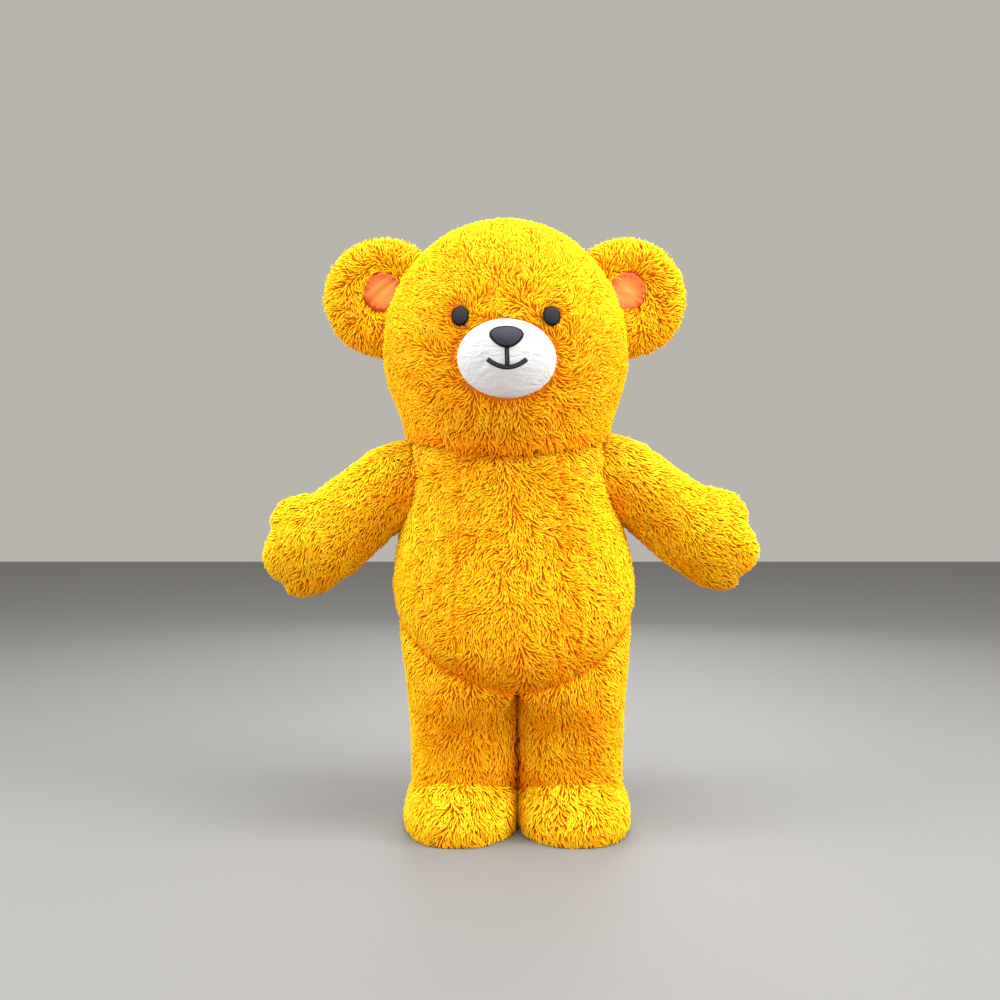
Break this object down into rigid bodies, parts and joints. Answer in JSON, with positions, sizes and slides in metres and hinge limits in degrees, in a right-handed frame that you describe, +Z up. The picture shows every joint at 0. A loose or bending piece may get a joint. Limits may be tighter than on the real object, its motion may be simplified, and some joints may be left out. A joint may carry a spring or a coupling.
{
  "type": "bear mascot costume",
  "caption": "Walk-about bear suit of long golden plush in its worn hollow form, with a large round head, padded white muzzle, round ears, mitten hands and soled feet.",
  "frame": {"origin": "the wearer's shoulder line on the centre plane, where the suit hangs, 1.270 m over the undersides of the soles", "axes": "+Z up along the standing suit, -Y towards the front, -X towards the side that is on the left when the suit is seen from the front"},
  "size_m": [1.6551, 0.8241, 2],
  "materials": {
    "golden_plush": "long straight pile, matt with a soft sheen along the locks",
    "orange_satin": "smooth woven satin, slightly shiny",
    "white_plush": "short dense pile, matt",
    "charcoal_felt": "felt, matt",
    "sole_rubber": "matt sheet rubber"
  },
  "bodies": {
    "root": {"body_back_left": "golden_plush", "body_back_right": "golden_plush", "body_front_centre": "golden_plush", "body_front_left": "golden_plush", "body_front_right": "golden_plush", "ear_left_back": "golden_plush", "ear_left_front": "golden_plush", "ear_left_inner": "orange_satin", "ear_right_back": "golden_plush", "ear_right_front": "golden_plush", "ear_right_inner": "orange_satin", "eye_left": "charcoal_felt", "eye_right": "charcoal_felt", "foot_left_heel": "golden_plush", "foot_left_toe": "golden_plush", "foot_right_heel": "golden_plush", "foot_right_toe": "golden_plush", "hand_left_back": "golden_plush", "hand_left_front": "golden_plush", "hand_right_back": "golden_plush", "hand_right_front": "golden_plush", "head_back_left": "golden_plush", "head_back_right": "golden_plush", "head_face": "golden_plush", "leg_left_back": "golden_plush", "leg_left_front": "golden_plush", "leg_right_back": "golden_plush", "leg_right_front": "golden_plush", "mouth_line": "charcoal_felt", "mouth_smile": "charcoal_felt", "muzzle": "white_plush", "nose": "charcoal_felt", "sleeve_left_back": "golden_plush", "sleeve_left_front": "golden_plush", "sleeve_right_back": "golden_plush", "sleeve_right_front": "golden_plush", "sole_left": "sole_rubber", "sole_right": "sole_rubber"}
  },
  "joints": []
}
